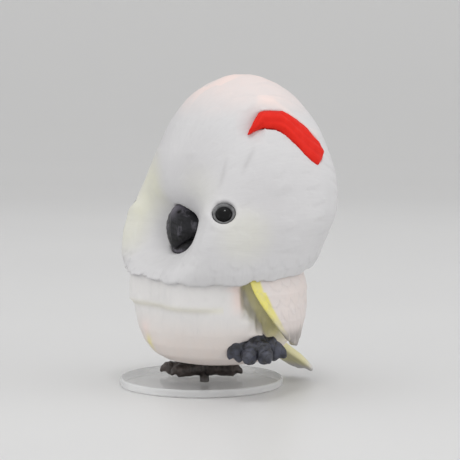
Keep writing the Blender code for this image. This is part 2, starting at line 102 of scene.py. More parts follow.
# Feathers: length, width, lengths that each one covers, and a seed of their own
HEAD_FEATHERS = (3.4, 2.6, 1.9, 5)
HANGING_FEATHERS = (2.9, 2.6, 1.9, 9)
COVERTS = (2.6, 2.4, 1.7, 21)
QUILLS = (6.0, 1.9, 2.0, 27)
BODY_CIRCLE = 85.0
WING_CIRCLE = 92.0
HEAD_REACH = 42.0
HANGING_TOP = 40.0
WING_TOP = 22.0
HEAD_MM_PER_DEGREE = 0.29
WING_MM_PER_DEGREE = 0.26

# How far the relief of each zone stands up or goes in, in millimetres
HEAD_RELIEF = 0.09
BACK_RELIEF = 0.06
FRINGE_RELIEF = 0.20
BELLY_RELIEF = 0.05
BREAST_RELIEF = 0.06
COVERT_RELIEF = 0.10
QUILL_EXTRA_RELIEF = 0.10
TAIL_RELIEF = 0.12
STRAND_RELIEF = 0.06
CREST_LIP = 0.15
PARTING_DEPTH = 0.12
TUFT_RISE = 0.10
NOSTRIL_DEPTH = 0.15
NOSTRIL_WIDTH = 0.2828
SCALE_RELIEF = 0.09
SKIN_LUMPS = 0.05

# Zones of the body. Each span tells where a zone fades in or out: the hood and its fringe by
# the height above the hem, the others by the height above the disc or by the angle.
HOOD_EDGE = (-0.25, 0.05)
FRINGE_END = (2.0, 5.5)
LOW_BELLY_END = (4.0, 12.5)
WARM_BELLY_END = (7.0, 13.0)
BREAST_SIDES = 60.0
BACK_START = (50.0, 110.0)
CROWN_START = (42.0, 49.0)
SHOULDER_ANGLE = (70.0, 5.0)
SHOULDER_START = (11.0, 15.0)
FLANK_BEHIND_EDGE = (-3.0, 2.0)
FLANK_START = (5.0, 9.0)
FLANK_END = (150.0, 156.0)
LIP_ANGLES = ((66.0, 78.0), (122.0, 132.0))
LIP_ABOVE_LINE = (3.0, 0.8)
LIP_START = (1.7, 2.3)
CALM_ROUND_BEAK = (6.5, 11.0)

# Zones of the wing, by height, by the way along its feathers or by the way from its front edge
QUILLS_START = (9.5, 11.0)
WING_TIP_END = (7.0, 11.0)
WING_DUSK_END = (8.0, 10.4)
YELLOW_START = (8.0, 14.5)
BAND_GROWTH = (9.0, 17.0)
BAND_WIDTH = (0.7, 1.6)
BAND_FADE = 0.5
OLIVE_START = (0.8, 2.0)
WING_MIDDLE = 75.0
WING_ROWS_RISE = 3.3 / 70.0
WING_ROWS_SWEEP = 0.004

# Zones of the tail, by the way behind the body's axis
TAIL_QUILL_WIDTH = 4.0 / 1.75
TAIL_ROOT_END = (14.0, 17.0)
TAIL_END_START = (16.5, 18.2)

# Places on the red tufts, by angle
CREST_WIDER = ((84.0, 100.0), (109.0, 118.0))
CREST_POINT = (61.0, 73.0)

# Places on the beak, by height above the middle of the face and by the way from its middle line
NOSTRIL = (2.3, 1.2)
LOWER_RIM = (-4.1, 0.35)
LOWER_RIM_SIDES = (1.2, 2.2)
RIDGE_SIDES = (3.6, 5.6)
RIDGE_START = (0.2, 3.0)
GAPE = (-2.7, 0.55)
GAPE_SLOPE = 0.35

# Rings of scales and start of the side toes, by the way from the middle of the foot
SCALE_RINGS = 3.6
TOES_START = (1.5, 3.6)

# Lines on the head plumage: ends of each as angle and height
PARTINGS = (((47.0, 36.8), (44.5, 32.3)), ((64.5, 38.4), (57.0, 34.6)))
TUFTS = (((16.0, 37.4), (25.0, 37.6)), ((78.0, 32.0), (85.0, 33.2)))
PARTING_WIDTH = 0.45
TUFT_WIDTH = 0.5

# Brow above the beak and the front end of each tuft's slot, both evened out: spans of height,
# of angle, and of distance from the beak or the middle of the slot
BROW_HEIGHTS = ((27.0, 29.5), (38.0, 41.0))
BROW_SIDES = (38.0, 48.0)
BROW_OFF_BEAK = (3.5, 5.0)
BROW_ROUNDS = 36
SLOT_ANGLES = ((52.0, 55.0), (68.0, 74.0))
SLOT_EDGES = (2.6, 3.4)
SLOT_ROUNDS = 240

# Ring of feather tips round each eye, and the swelling in front of it
COLLAR_RADIUS = 2.25
COLLAR_WIDTH = 0.38
COLLAR_RISE = 0.10
COLLAR_TIPS = 7
COLLAR_DEPTH = 3.0
SWELL_AHEAD = 3.0
SWELL_RADIUS = 1.5
SWELL_RISE = 0.48

# Eye: how much deeper it sits than its solid, and its outline from the root of the skin ring to
# the rim of the bead, as height above the seat, radius, share of black and drop in the ring
EYE_DEEPER = 0.15
EYE_RING_OUTLINE = ((-1.5, 1.43, 0, 0), (-1.1, EYE_RADIUS, 0, 0), (0.0, EYE_RADIUS, 0, 0),
                    (0.07, 1.70, 0, 0), (0.12, 1.62, 0, 0), (0.12, 1.50, 0, 0.06),
                    (0.07, 1.38, 0, 0.12), (0.01, 1.31, 0.4, 0.16), (0.0, 1.27, 1, 0.18))
BEAD_RADIUS = 1.26
BEAD_RISE = 0.62
BEAD_DROP = 0.18

# Raised foot: how much fuller it is, the share of their height that its side toes gain on each
# side, up to which height they do, and the direction across the toes
RAISED_FULLER = 0.18
RAISED_TALLER = (1.0, 0.35)
RAISED_HEIGHT = 2.4
TOES_ASIDE = (0.56, 0.83)

DISC_EDGE = 0.35

# Painted patches: middle and width round the bird, then middle and width in height
GOLD_SPOT = ((-13.0, 4.5), (6.9, 1.1))
ROSY_SPOT = ((-16.0, 6.0), (9.2, 1.3))
# Painted shade on the temples and the forehead
TEMPLE_SHADE = ((74.0, 24.0), (30.0, 6.0))
FOREHEAD_SHADE = ((28.0, 18.0), (36.5, 5.0))

# Cream places on the cheeks and below the eyes: middle, radius and share
CREAM_PLACES = (((-3.0, -10.5, 33.5), 8.0, 0.75), ((-6.0, -11.5, 27.0), 7.0, 0.525),
                ((13.0, -12.0, 33.5), 7.0, 0.25), ((20.0, -5.0, 26.5), 6.0, 0.30),
                ((-11.0, -5.0, 26.5), 6.0, 0.30))

# Span that holds most of a noise's values
NOISE_LOW = 0.3
NOISE_HIGH = 0.7

# Paints as linear colours: where there are two, the surface is mottled between them
WHITE = ((0.655, 0.650, 0.658), (0.630, 0.625, 0.634))
WHITE_BARBS = (0.575, 0.57, 0.58)
# Painted shade for the white plumage, laid in its creases and hollows
WHITE_CREASE_SHADE = (0.40, 0.385, 0.39)
# The first tint is lighter paint; on the belly it is painted light lifting the hood's shade
TINTS = {"fair": (0.775, 0.770, 0.765),
         # The shade tint is painted shade, laid on the temples and the forehead
         "shade": (0.51, 0.50, 0.51),
         "warm": (0.735, 0.655, 0.61),
         "pink": (0.84, 0.69, 0.65),
         "cream": (0.73, 0.725, 0.585),
         "yellow": (0.80, 0.73, 0.16),
         "olive": (0.90, 0.86, 0.52),
         "dusk": (0.36, 0.33, 0.315)}
RED = ((0.745, 0.022, 0.012), (0.68, 0.018, 0.010))
# Painted shade for the red, between its strands and on its sides
RED_PAINTED_SHADE = (0.54, 0.012, 0.009)
HORN = ((0.008, 0.008, 0.010), (0.022, 0.022, 0.026))
# Painted highlights on the beak: its lighter streaks along the grain, its ridge and its lower rim
HORN_STREAK_HIGHLIGHT = (0.085, 0.082, 0.096)
HORN_RIDGE_HIGHLIGHT = (0.140, 0.130, 0.158)
# Painted shade for the beak's gape, nostrils and creases
HORN_GAPE_SHADE = (0.002, 0.002, 0.002)
# Two copies of one skin paint: the standing foot's is browner, dark skin with painted warm light
# bounced from the belly above it
STANDING_SKIN_AND_BOUNCE = ((0.034, 0.027, 0.024), (0.085, 0.068, 0.062))
RAISED_SKIN = ((0.011, 0.011, 0.014), (0.058, 0.062, 0.088))
# Painted shade for the skin of the feet, laid in its creases
SKIN_CREASE_SHADE = (0.006, 0.006, 0.007)
EYE_GREY = ((0.12, 0.12, 0.125), (0.24, 0.24, 0.245))
EYE_BLACK = (0.003, 0.003, 0.0035)
CLEAR = ((0.94, 0.945, 0.95), (0.88, 0.885, 0.89))
CLEAR_RIM = (0.90, 0.91, 0.92)
CLEAR_IOR = 1.49

# Camera: a long lens, level with the top of the bird and looking slightly down
CAMERA_TURN = 56.0
CAMERA_PITCH = 4.9
CAMERA_DISTANCE = 300.0
MM_PER_PIXEL = 0.166
FRAME_PIXELS = 460
DISC_CENTRE_PIXEL = (201.5, 376.2)
SENSOR = 36.0

# Stage, in metres: the table's rows ahead of the disc, the bend up into the backdrop, its top
TABLE_ROWS = (-1.2, 0.0, 0.25, 0.30, 0.35, 0.40, 0.45)
TABLE_HALF_WIDTH = 1.6
TABLE_BELOW = 0.00002
BEND_RADIUS = 0.35
BACKDROP_TOP = 1.6

# Table's paint near the disc, and the darker paint far from it that is painted shade, and where
# the one gives way to the other, in millimetres from the disc
NEAR_TABLE = ((0.700, 0.700, 0.702), (0.715, 0.715, 0.715))
FAR_TABLE_SHADE = (0.59, 0.59, 0.59)
FAR_TABLE_SPAN = (300.0, 620.0)

DAYLIGHT = (1.0, 0.997, 0.992, 1.0)
DAYLIGHT_STRENGTH = 0.94

# Lamps: name, place to the camera's right, away from it and up, width, all in metres, and watts
LAMPS = (("soft_top", (0.0, -0.05, 0.62), 0.60, 0.12),
         ("soft_right", (0.62, -0.20, 0.16), 0.50, 0.60),
         ("soft_left", (-0.60, -0.25, 0.12), 0.50, 0.35),
         ("catch_light", (0.035, -0.19, 0.57), 0.11, 0.50))
LAMP_AIM = (0.004, 0.0, 0.022)


# Numbers

def ease(value, low, high):
    """0 below low, 1 above high and a soft step between them."""
    share = np.clip((value - low) / (high - low), 0.0, 1.0)
    return share * share * (3 - 2 * share)


def window(value, start, end):
    """1 between two soft steps, each given by where it begins and ends."""
    return ease(value, *start) * (1 - ease(value, *end))


def bell(value, middle, width):
    """1 at the middle, fading out to both sides."""
    return np.exp(-((value - middle) / width) ** 2)


def patch(angle, height, place):
    """1 at the middle of a painted patch, fading out all round."""
    return bell(angle, *place[0]) * bell(height, *place[1])


def table(pairs, value):
    """Value read off a line through the given pairs."""
    return np.interp(value, [pair[0] for pair in pairs], [pair[1] for pair in pairs])


def unit(vectors):
    return vectors / np.linalg.norm(vectors, axis=1)[:, None]


def dot(a, b):
    return (a * b).sum(axis=1)


def scatter(*keys):
    """Repeatable number between 0 and 1 for each set of whole numbers."""
    total = np.zeros_like(np.asarray(keys[0], float))
    for k, key in enumerate(keys):
        total = total + np.asarray(key, float) * (12.9898 + 65.233 * k)
    wave = np.sin(total + 4.137) * 43758.5453
    return wave - np.floor(wave)


def feathers(turn, run, circle, length, width, reach, seed):
    """Overlapping feathers. turn is the share of a full turn across the flow, run the way
    along it from root to tip, circle(run) the length of that turn, all in millimetres.
    Returns how high the topmost feather stands, 0 to 1, and a shade of its own."""
    height = np.zeros_like(run)
    shade = np.full_like(run, 0.5)
    row_here = np.floor(run / length)
    for back in range(int(math.ceil(reach)) + 1):
        row = row_here - back
        count = np.maximum(4, np.round(circle((row + 0.7) * length) / width))
        place = turn * count + scatter(row, seed) + 0.5 * (row % 2)
        column = np.floor(place) % count
        aside = (place - np.floor(place)) * 2 - 1
        late = 0.35 * (scatter(row, column, seed) - 0.5)
        along = (run / length - row - late) / reach
        tip = 1.0 - 0.30 * np.abs(aside) ** 2.2
        inside = (along < tip) & (along > 0)
        here = np.where(inside, (0.25 + 0.75 * along / tip) * (1 - 0.38 * aside * aside), 0.0)
        higher = here > height
        height = np.where(higher, here, height)
        shade = np.where(higher, scatter(column, row, seed + 3), shade)
    return height, shade


def even_circle(length):
    """Turn of one length all the way along the feathers."""
    return lambda run: np.full_like(run, length)


def head_circle(run):
    """Length of the turn round the head at each distance from the beak."""
    run = np.clip(run, 0.5, 38.0)
    return 2 * math.pi * run * np.sqrt(1 - (run / HEAD_REACH) ** 2)


# Meshes

def new_piece(name, mesh):
    made = bpy.data.objects.new(name, mesh)
    bpy.context.scene.collection.objects.link(made)
    return made


def node_copy(name, new_name, fineness):
    """Copy of a CAD node's solid with an even fine mesh, the steps smoothed away."""
    piece = new_piece(new_name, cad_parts[name].data.copy())
    cell, rounds = fineness
    grid = piece.modifiers.new("grid", "REMESH")
    grid.mode = "VOXEL"
    grid.voxel_size = cell * MM * COARSE
    soft = piece.modifiers.new("soft", "SMOOTH")
    soft.factor = 0.5
    soft.iterations = rounds
    graph = bpy.context.evaluated_depsgraph_get()
    fine = bpy.data.meshes.new_from_object(piece.evaluated_get(graph))
    coarse = piece.data
    piece.modifiers.clear()
    piece.data = fine
    bpy.data.meshes.remove(coarse)
    return piece


def turned(name, centres, radii, aside, ahead, steps):
    """Closed shape of rings, with their centres, radii and two directions in millimetres."""
    turns = 2 * math.pi * np.arange(steps) / steps
    circle = np.outer(np.cos(turns), aside) + np.outer(np.sin(turns), ahead)
    shape = bmesh.new()
    rings = [[shape.verts.new(place * MM) for place in np.array(centre) + circle * radius]
             for centre, radius in zip(centres, radii)]
    for below, above in zip(rings, rings[1:]):
        for i in range(steps):
            j = (i + 1) % steps
            shape.faces.new((below[i], below[j], above[j], above[i]))
    shape.faces.new(list(reversed(rings[0])))
    shape.faces.new(rings[-1])
    mesh = bpy.data.meshes.new(name)
    shape.to_mesh(mesh)
    shape.free()
    return new_piece(name, mesh)


def points(piece):
    """Places of the piece's points in millimetres."""
    co = np.empty(len(piece.data.vertices) * 3)
    piece.data.vertices.foreach_get("co", co)
    return co.reshape(-1, 3) / MM


def normals(piece):
    out = np.empty(len(piece.data.vertices) * 3, np.float32)
    piece.data.vertex_normals.foreach_get("vector", out)
    return out.reshape(-1, 3).astype(float)


def edge_ends(piece):
    ends = np.empty(len(piece.data.edges) * 2, np.int64)
    piece.data.edges.foreach_get("vertices", ends)
    return ends.reshape(-1, 2).T


def move(piece, co):
    """Puts the piece's points at the given places, kept inside the solids' own box."""
    low, high = (np.array(corner) for corner in cad_box)
    kept = np.clip(co * MM, low, high)
    piece.data.vertices.foreach_set("co", kept.astype(np.float32).ravel())
    piece.data.update()


def paint(piece, **layers):
    """Stores a value, or a place in a pattern, at each point for the materials to read."""
    for name, values in layers.items():
        if np.ndim(values) == 2:
            layer = piece.data.attributes.new(name, "FLOAT_VECTOR", "POINT")
            layer.data.foreach_set("vector", np.asarray(values, np.float32).ravel())
        else:
            layer = piece.data.attributes.new(name, "FLOAT", "POINT")
            count = len(piece.data.vertices)
            layer.data.foreach_set("value", np.full(count, values, np.float32))


def paint_plumage(piece, **layers):
    """Stores the layers of the plumage paint, 0 for those that aren't given."""
    nothing = dict.fromkeys((*TINTS, "on_head"), 0.0)
    paint(piece, **(nothing | layers))


def barb_places(across, along, rate=0.55):
    """Places in the pattern of barbs, which changes less along a feather than across it."""
    return np.stack([across, along * rate, np.zeros_like(along)], axis=1)


def gathered(i, j, at_i, at_j, count):
    """Sum, at each point, of the values at the far ends of its edges."""
    return np.bincount(i, at_i, count) + np.bincount(j, at_j, count)


def edge_counts(i, j, count):
    return np.maximum(np.bincount(i, minlength=count) + np.bincount(j, minlength=count), 1)


def hollows(piece, rounds=2):
    """How hollow the surface is: 0 on flat and raised places, towards 1 in a crease."""
    co = points(piece)
    out = normals(piece)
    i, j = edge_ends(piece)
    step = co[j] - co[i]
    bend = dot(out[j] - out[i], step) / np.maximum(dot(step, step), 1e-9)
    ways = edge_counts(i, j, len(co))
    curve = gathered(i, j, bend, bend, len(co)) / ways
    for _ in range(rounds):
        curve = 0.5 * curve + 0.5 * gathered(i, j, curve[j], curve[i], len(co)) / ways
    return np.clip(-curve, 0.0, 1.5) / 1.5


def soften(piece, share, rounds):
    """Evens out the surface by the given share at each point."""
    co = points(piece)
    i, j = edge_ends(piece)
    kept = (share[i] > 0) | (share[j] > 0)
    i, j = i[kept], j[kept]
    ways = edge_counts(i, j, len(co))
    for _ in range(rounds):
        mean = np.stack([gathered(i, j, co[j, k], co[i, k], len(co)) for k in range(3)],
                        axis=1) / ways[:, None]
        co = co + (0.6 * share)[:, None] * (mean - co)
    move(piece, co)


def show(piece, material, slot, *nodes):
    """Gives the piece its paint and its place in the frame, instead of the named nodes."""
    piece.data.materials.clear()
    piece.data.materials.append(material)
    for polygon in piece.data.polygons:
        polygon.use_smooth = True
    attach(piece, "root")
    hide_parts(*nodes)
    return piece


# Materials

class Nodes:
    """Small builder for one material's node tree."""

    def __init__(self, name):
        self.material = bpy.data.materials.new(name)
        self.material.use_nodes = True
        self.tree = self.material.node_tree
        self.shader = self.tree.nodes["Principled BSDF"]
        self.place = self.add("ShaderNodeTexCoord").outputs["Object"]

    def add(self, kind, **settings):
        made = self.tree.nodes.new(kind)
        for key, value in settings.items():
            setattr(made, key, value)
        return made

    def link(self, source, target):
        if isinstance(source, (int, float, tuple)):
            target.default_value = source
        else:
            self.tree.links.new(source, target)

    def math(self, operation, a, b, clamp=False):
        made = self.add("ShaderNodeMath", operation=operation, use_clamp=clamp)
        self.link(a, made.inputs[0])
        self.link(b, made.inputs[1])
        return made.outputs[0]

    def texture(self, source, scale, detail, rough):
        made = self.add("ShaderNodeTexNoise")
        made.inputs["Scale"].default_value = scale
        made.inputs["Detail"].default_value = detail
        made.inputs["Roughness"].default_value = rough
        self.link(source, made.inputs["Vector"])
        return made.outputs["Fac"]

    def noise(self, scale, detail, rough, stretch=None):
        """Noise laid out on the object, drawn out where a stretch is given."""
        source = self.place
        if stretch:
            spread = self.add("ShaderNodeMapping")
            spread.inputs["Scale"].default_value = stretch
            self.link(self.place, spread.inputs["Vector"])
            source = spread.outputs[0]
        return self.texture(source, scale, detail, rough)

    def strands(self, name):
        """Noise laid out on a stored pattern place instead of on the object."""
        pattern = self.add("ShaderNodeAttribute", attribute_name=name)
        return self.texture(pattern.outputs["Vector"], 1.0, 3.0, 0.5)

    def value(self, name):
        return self.add("ShaderNodeAttribute", attribute_name=name).outputs["Fac"]

    def layer(self, name, strength=1.0):
        """Stored value times a strength, kept between 0 and 1."""
        return self.math("MULTIPLY", self.value(name), strength, True)

    def mix(self, share, a, b):
        made = self.add("ShaderNodeMix", data_type="RGBA")
        self.link(share, made.inputs[0])
        for colour, socket in ((a, made.inputs[6]), (b, made.inputs[7])):
            self.link((*colour, 1.0) if isinstance(colour, tuple) else colour, socket)
        return made.outputs[2]

    def span(self, source, low, high, to_low=0.0, to_high=1.0):
        """Source brought from one span of numbers to another."""
        made = self.add("ShaderNodeMapRange")
        self.link(source, made.inputs[0])
        for k, number in enumerate((low, high, to_low, to_high)):
            made.inputs[k + 1].default_value = number
        return made.outputs[0]

    def mottled(self, source, colours, low=NOISE_LOW, high=NOISE_HIGH):
        """The two colours mixed as the source goes from low to high."""
        return self.mix(self.span(source, low, high), *colours)

    def finish(self, colour, roughness, bump=None, strength=0.0, height=0.0, specular=None):
        """Links the surface up. The bump's height is in millimetres."""
        self.link(colour, self.shader.inputs["Base Color"])
        self.link(roughness, self.shader.inputs["Roughness"])
        if specular is not None:
            self.shader.inputs["Specular IOR Level"].default_value = specular
        if bump is not None:
            made = self.add("ShaderNodeBump")
            made.inputs["Strength"].default_value = strength
            made.inputs["Distance"].default_value = height * MM
            self.link(bump, made.inputs["Height"])
            self.link(made.outputs[0], self.shader.inputs["Normal"])
        return self.material


def plumage_material():
    """Matte white paint, with tints airbrushed on where the tint layers say; among them are
    painted shade in the creases, on the temples and on the forehead, and painted light on the
    belly.
    """
    nodes = Nodes("plumage_paint")
    mottle = nodes.noise(scale=420.0, detail=4.0, rough=0.6)
    clouds = nodes.noise(scale=110.0, detail=2.0, rough=0.5)
    on_head = nodes.layer("on_head")
    off_head = nodes.math("SUBTRACT", 1.0, on_head)
    barbs = nodes.math("ADD", nodes.math("MULTIPLY", nodes.strands("flow_head"), on_head),
                       nodes.math("MULTIPLY", nodes.strands("flow_down"), off_head))
    colour = nodes.mottled(clouds, WHITE, 0.35, 0.65)
    colour = nodes.mix(nodes.span(barbs, NOISE_LOW, NOISE_HIGH, 0.0, 0.30), colour, WHITE_BARBS)
    uneven = nodes.span(mottle, 0.25, 0.7, 0.8, 1.15)
    for name, tint in TINTS.items():
        colour = nodes.mix(nodes.layer(name, uneven), colour, tint)
    # Painted shade in creases, between feathers, along partings and in hollows
    colour = nodes.mix(nodes.layer("groove", 0.7), colour, WHITE_CREASE_SHADE)
    rough = nodes.span(mottle, NOISE_LOW, NOISE_HIGH, 0.56, 0.70)
    bump = nodes.math("ADD", barbs, nodes.math("MULTIPLY", mottle, 0.35))
    return nodes.finish(colour, rough, bump, strength=0.38, height=0.07, specular=0.30)


def crest_material():
    """Red paint, with painted shade that makes it deeper between the strands and on the sides."""
    nodes = Nodes("crest_paint")
    mottle = nodes.noise(scale=700.0, detail=3.0, rough=0.6)
    colour = nodes.mottled(mottle, RED, 0.35, 0.7)
    # Painted shade between the strands and on the sides that turn away
    colour = nodes.mix(nodes.layer("edge", 0.6), colour, RED_PAINTED_SHADE)
    rough = nodes.span(mottle, NOISE_LOW, NOISE_HIGH, 0.50, 0.62)
    strands = nodes.strands("flow_head")
    return nodes.finish(colour, rough, strands, strength=0.5, height=0.06, specular=0.12)


def horn_material():
    """Near-black horn with upright streaks and a pale ridge and lower rim that are painted
    highlights, and a darker gape, nostrils and creases that are painted shade.
    """
    nodes = Nodes("beak_paint")
    mottle = nodes.noise(scale=1100.0, detail=4.0, rough=0.65)
    grain = nodes.noise(scale=620.0, detail=4.0, rough=0.65, stretch=(1.0, 1.0, 0.45))
    colour = nodes.mottled(mottle, HORN)
    # Painted highlights: lighter streaks along the grain, then a lighter ridge and lower rim
    colour = nodes.mix(nodes.span(grain, 0.53, 0.62), colour, HORN_STREAK_HIGHLIGHT)
    colour = nodes.mix(nodes.layer("pale"), colour, HORN_RIDGE_HIGHLIGHT)
    # Painted shade: darkest in the gape, the nostrils and the creases
    colour = nodes.mix(nodes.layer("groove"), colour, HORN_GAPE_SHADE)
    rough = nodes.span(grain, NOISE_LOW, NOISE_HIGH, 0.30, 0.50)
    return nodes.finish(colour, rough, grain, strength=0.8, height=0.16, specular=0.22)


def skin_material(name, colours):
    """Scaly skin of a foot, darker in its creases with painted shade."""
    nodes = Nodes(name)
    mottle = nodes.noise(scale=650.0, detail=4.0, rough=0.65)
    scales = nodes.noise(scale=1800.0, detail=3.0, rough=0.6)
    colour = nodes.mottled(mottle, colours, 0.38, 0.62)
    # Painted shade in the creases of the skin
    colour = nodes.mix(nodes.layer("groove", 0.9), colour, SKIN_CREASE_SHADE)
    rough = nodes.span(mottle, NOISE_LOW, NOISE_HIGH, 0.38, 0.58)
    return nodes.finish(colour, rough, scales, strength=0.5, height=0.08)


def eye_material():
    """Black glossy bead inside a dull grey ring of bare skin."""
    nodes = Nodes("eye_paint")
    mottle = nodes.noise(scale=1500.0, detail=3.0, rough=0.6)
    bead = nodes.layer("bead")
    colour = nodes.mix(bead, nodes.mottled(mottle, EYE_GREY), EYE_BLACK)
    rough = nodes.math("ADD", nodes.math("MULTIPLY", bead, -0.54),
                       nodes.span(mottle, NOISE_LOW, NOISE_HIGH, 0.57, 0.61))
    dull = nodes.math("MULTIPLY", mottle, nodes.math("SUBTRACT", 1.0, bead))
    return nodes.finish(colour, rough, dull, strength=0.6, height=0.10, specular=0.16)


def clear_material():
    """Clear moulded plastic: see-through faces with a faint haze and a bright rim."""
    nodes = Nodes("clear_plastic")
    scuff = nodes.noise(scale=260.0, detail=5.0, rough=0.7, stretch=(1.0, 4.0, 1.0))
    haze = nodes.noise(scale=60.0, detail=2.0, rough=0.5)
    rim = nodes.layer("rim")
    colour = nodes.mix(rim, nodes.mottled(haze, CLEAR), CLEAR_RIM)
    gloss = nodes.add("ShaderNodeFresnel")
    gloss.inputs["IOR"].default_value = CLEAR_IOR
    solid = nodes.math("ADD", nodes.span(haze, NOISE_LOW, NOISE_HIGH, 0.05, 0.10),
                       nodes.math("MULTIPLY", rim, 0.35))
    glare = nodes.math("MULTIPLY", gloss.outputs[0], 0.40)
    nodes.link(nodes.math("ADD", solid, glare, True), nodes.shader.inputs["Alpha"])
    nodes.shader.inputs["IOR"].default_value = CLEAR_IOR
    rough = nodes.span(scuff, 0.45, 0.8, 0.03, 0.12)
    return nodes.finish(colour, rough, scuff, strength=0.04, height=0.02)


# Plumage

def around(co):
    """Angle round the bird from its front in degrees, and height above the disc's top."""
    height = co[:, 2] - DISC_TOP
    lean = np.where(height > HOOD_LEAN[0][0], table(HOOD_LEAN, height), 0.0)
    angle = np.degrees(np.arctan2(co[:, 0] - BODY[0], -(co[:, 1] - BODY[1] - lean)))
    return angle, height


def level_out(co, behind=0.0):
    """Level direction at each point, out from an upright line through the body."""
    return unit(np.stack([co[:, 0] - BODY[0], co[:, 1] - BODY[1] - behind,
                          np.zeros(len(co))], axis=1))


def hem_at(angle):
    """Height of the hood's scalloped hem, which drops towards the front."""
    facing = np.cos(np.radians(angle - HEM_TURN))
    lobes = np.abs(np.cos(np.radians(angle) * HEM_LOBES)) ** 0.6
    return HEM_HIGH - HEM_DROP * ease(facing, -0.6, 1.0) - HEM_LOBE_DEPTH * lobes


def spot(co, centre, radius):
    """1 at a place, fading to 0 at the given radius."""
    far = np.linalg.norm(co - np.array(centre), axis=1)
    return 1 - ease(far, 0.25 * radius, radius)


def strokes(angle, height, lines, width):
    """1 along short lines between pairs of (angle, height) on both sides of the head."""
    deepest = np.zeros_like(angle)
    for start, end in lines:
        for side in (1, -1):
            first = np.array([side * start[0] * HEAD_MM_PER_DEGREE, start[1]])
            run = np.array([side * end[0] * HEAD_MM_PER_DEGREE, end[1]]) - first
            place = np.stack([angle * HEAD_MM_PER_DEGREE, height], axis=1) - first
            along = np.clip(place @ run / (run @ run), 0.0, 1.0)
            far = np.linalg.norm(place - along[:, None] * run, axis=1)
            here = bell(far, 0.0, width) * np.sin(math.pi * (0.1 + 0.8 * along)) ** 0.7
            deepest = np.maximum(deepest, here)
    return deepest


def eye_collars(co):
    """Rise of the feather tips round each eye and of the swelling in front of it."""
    rise = np.zeros(len(co))
    for side in ("left", "right"):
        low, high = (np.array(corner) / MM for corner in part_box(f"eye_{side}"))
        centre = (low + high) / 2
        axis = centre - np.array([BODY[0], BODY[1] + 2.0, centre[2]])
        axis /= np.linalg.norm(axis)
        offset = co - centre
        along = offset @ axis
        far = np.linalg.norm(offset - np.outer(along, axis), axis=1)
        turn = np.arctan2(offset[:, 2], np.cross(axis, offset)[:, 2])
        tips = 0.75 + 0.25 * np.abs(np.sin(turn * COLLAR_TIPS))
        near = np.abs(along) < COLLAR_DEPTH
        backward = np.array([-axis[1], axis[0], 0.0]) * (1 if side == "left" else -1)
        from_swell = np.linalg.norm(offset + backward * SWELL_AHEAD, axis=1)
        rise += COLLAR_RISE * bell(far, COLLAR_RADIUS, COLLAR_WIDTH) * tips * near
        rise += SWELL_RISE * bell(from_swell, 0.0, SWELL_RADIUS) * near
    return rise


def even_out(piece):
    """Evens out the brow above the beak, and closes the slot of each red tuft over where the
    tuft runs out to a point."""
    co = points(piece)
    angle, height = around(co)
    side_angle = np.abs(angle)
    from_beak = np.linalg.norm(co - np.array(BEAK_ROOT), axis=1)
    brow = window(height, *BROW_HEIGHTS) * ease(from_beak, *BROW_OFF_BEAK)
    soften(piece, brow * (1 - ease(side_angle, *BROW_SIDES)), BROW_ROUNDS)
    off_line = np.abs(height - table(CREST_LINE, side_angle))
    slot = window(side_angle, *SLOT_ANGLES) * (1 - ease(off_line, *SLOT_EDGES))
    soften(piece, slot, SLOT_ROUNDS)


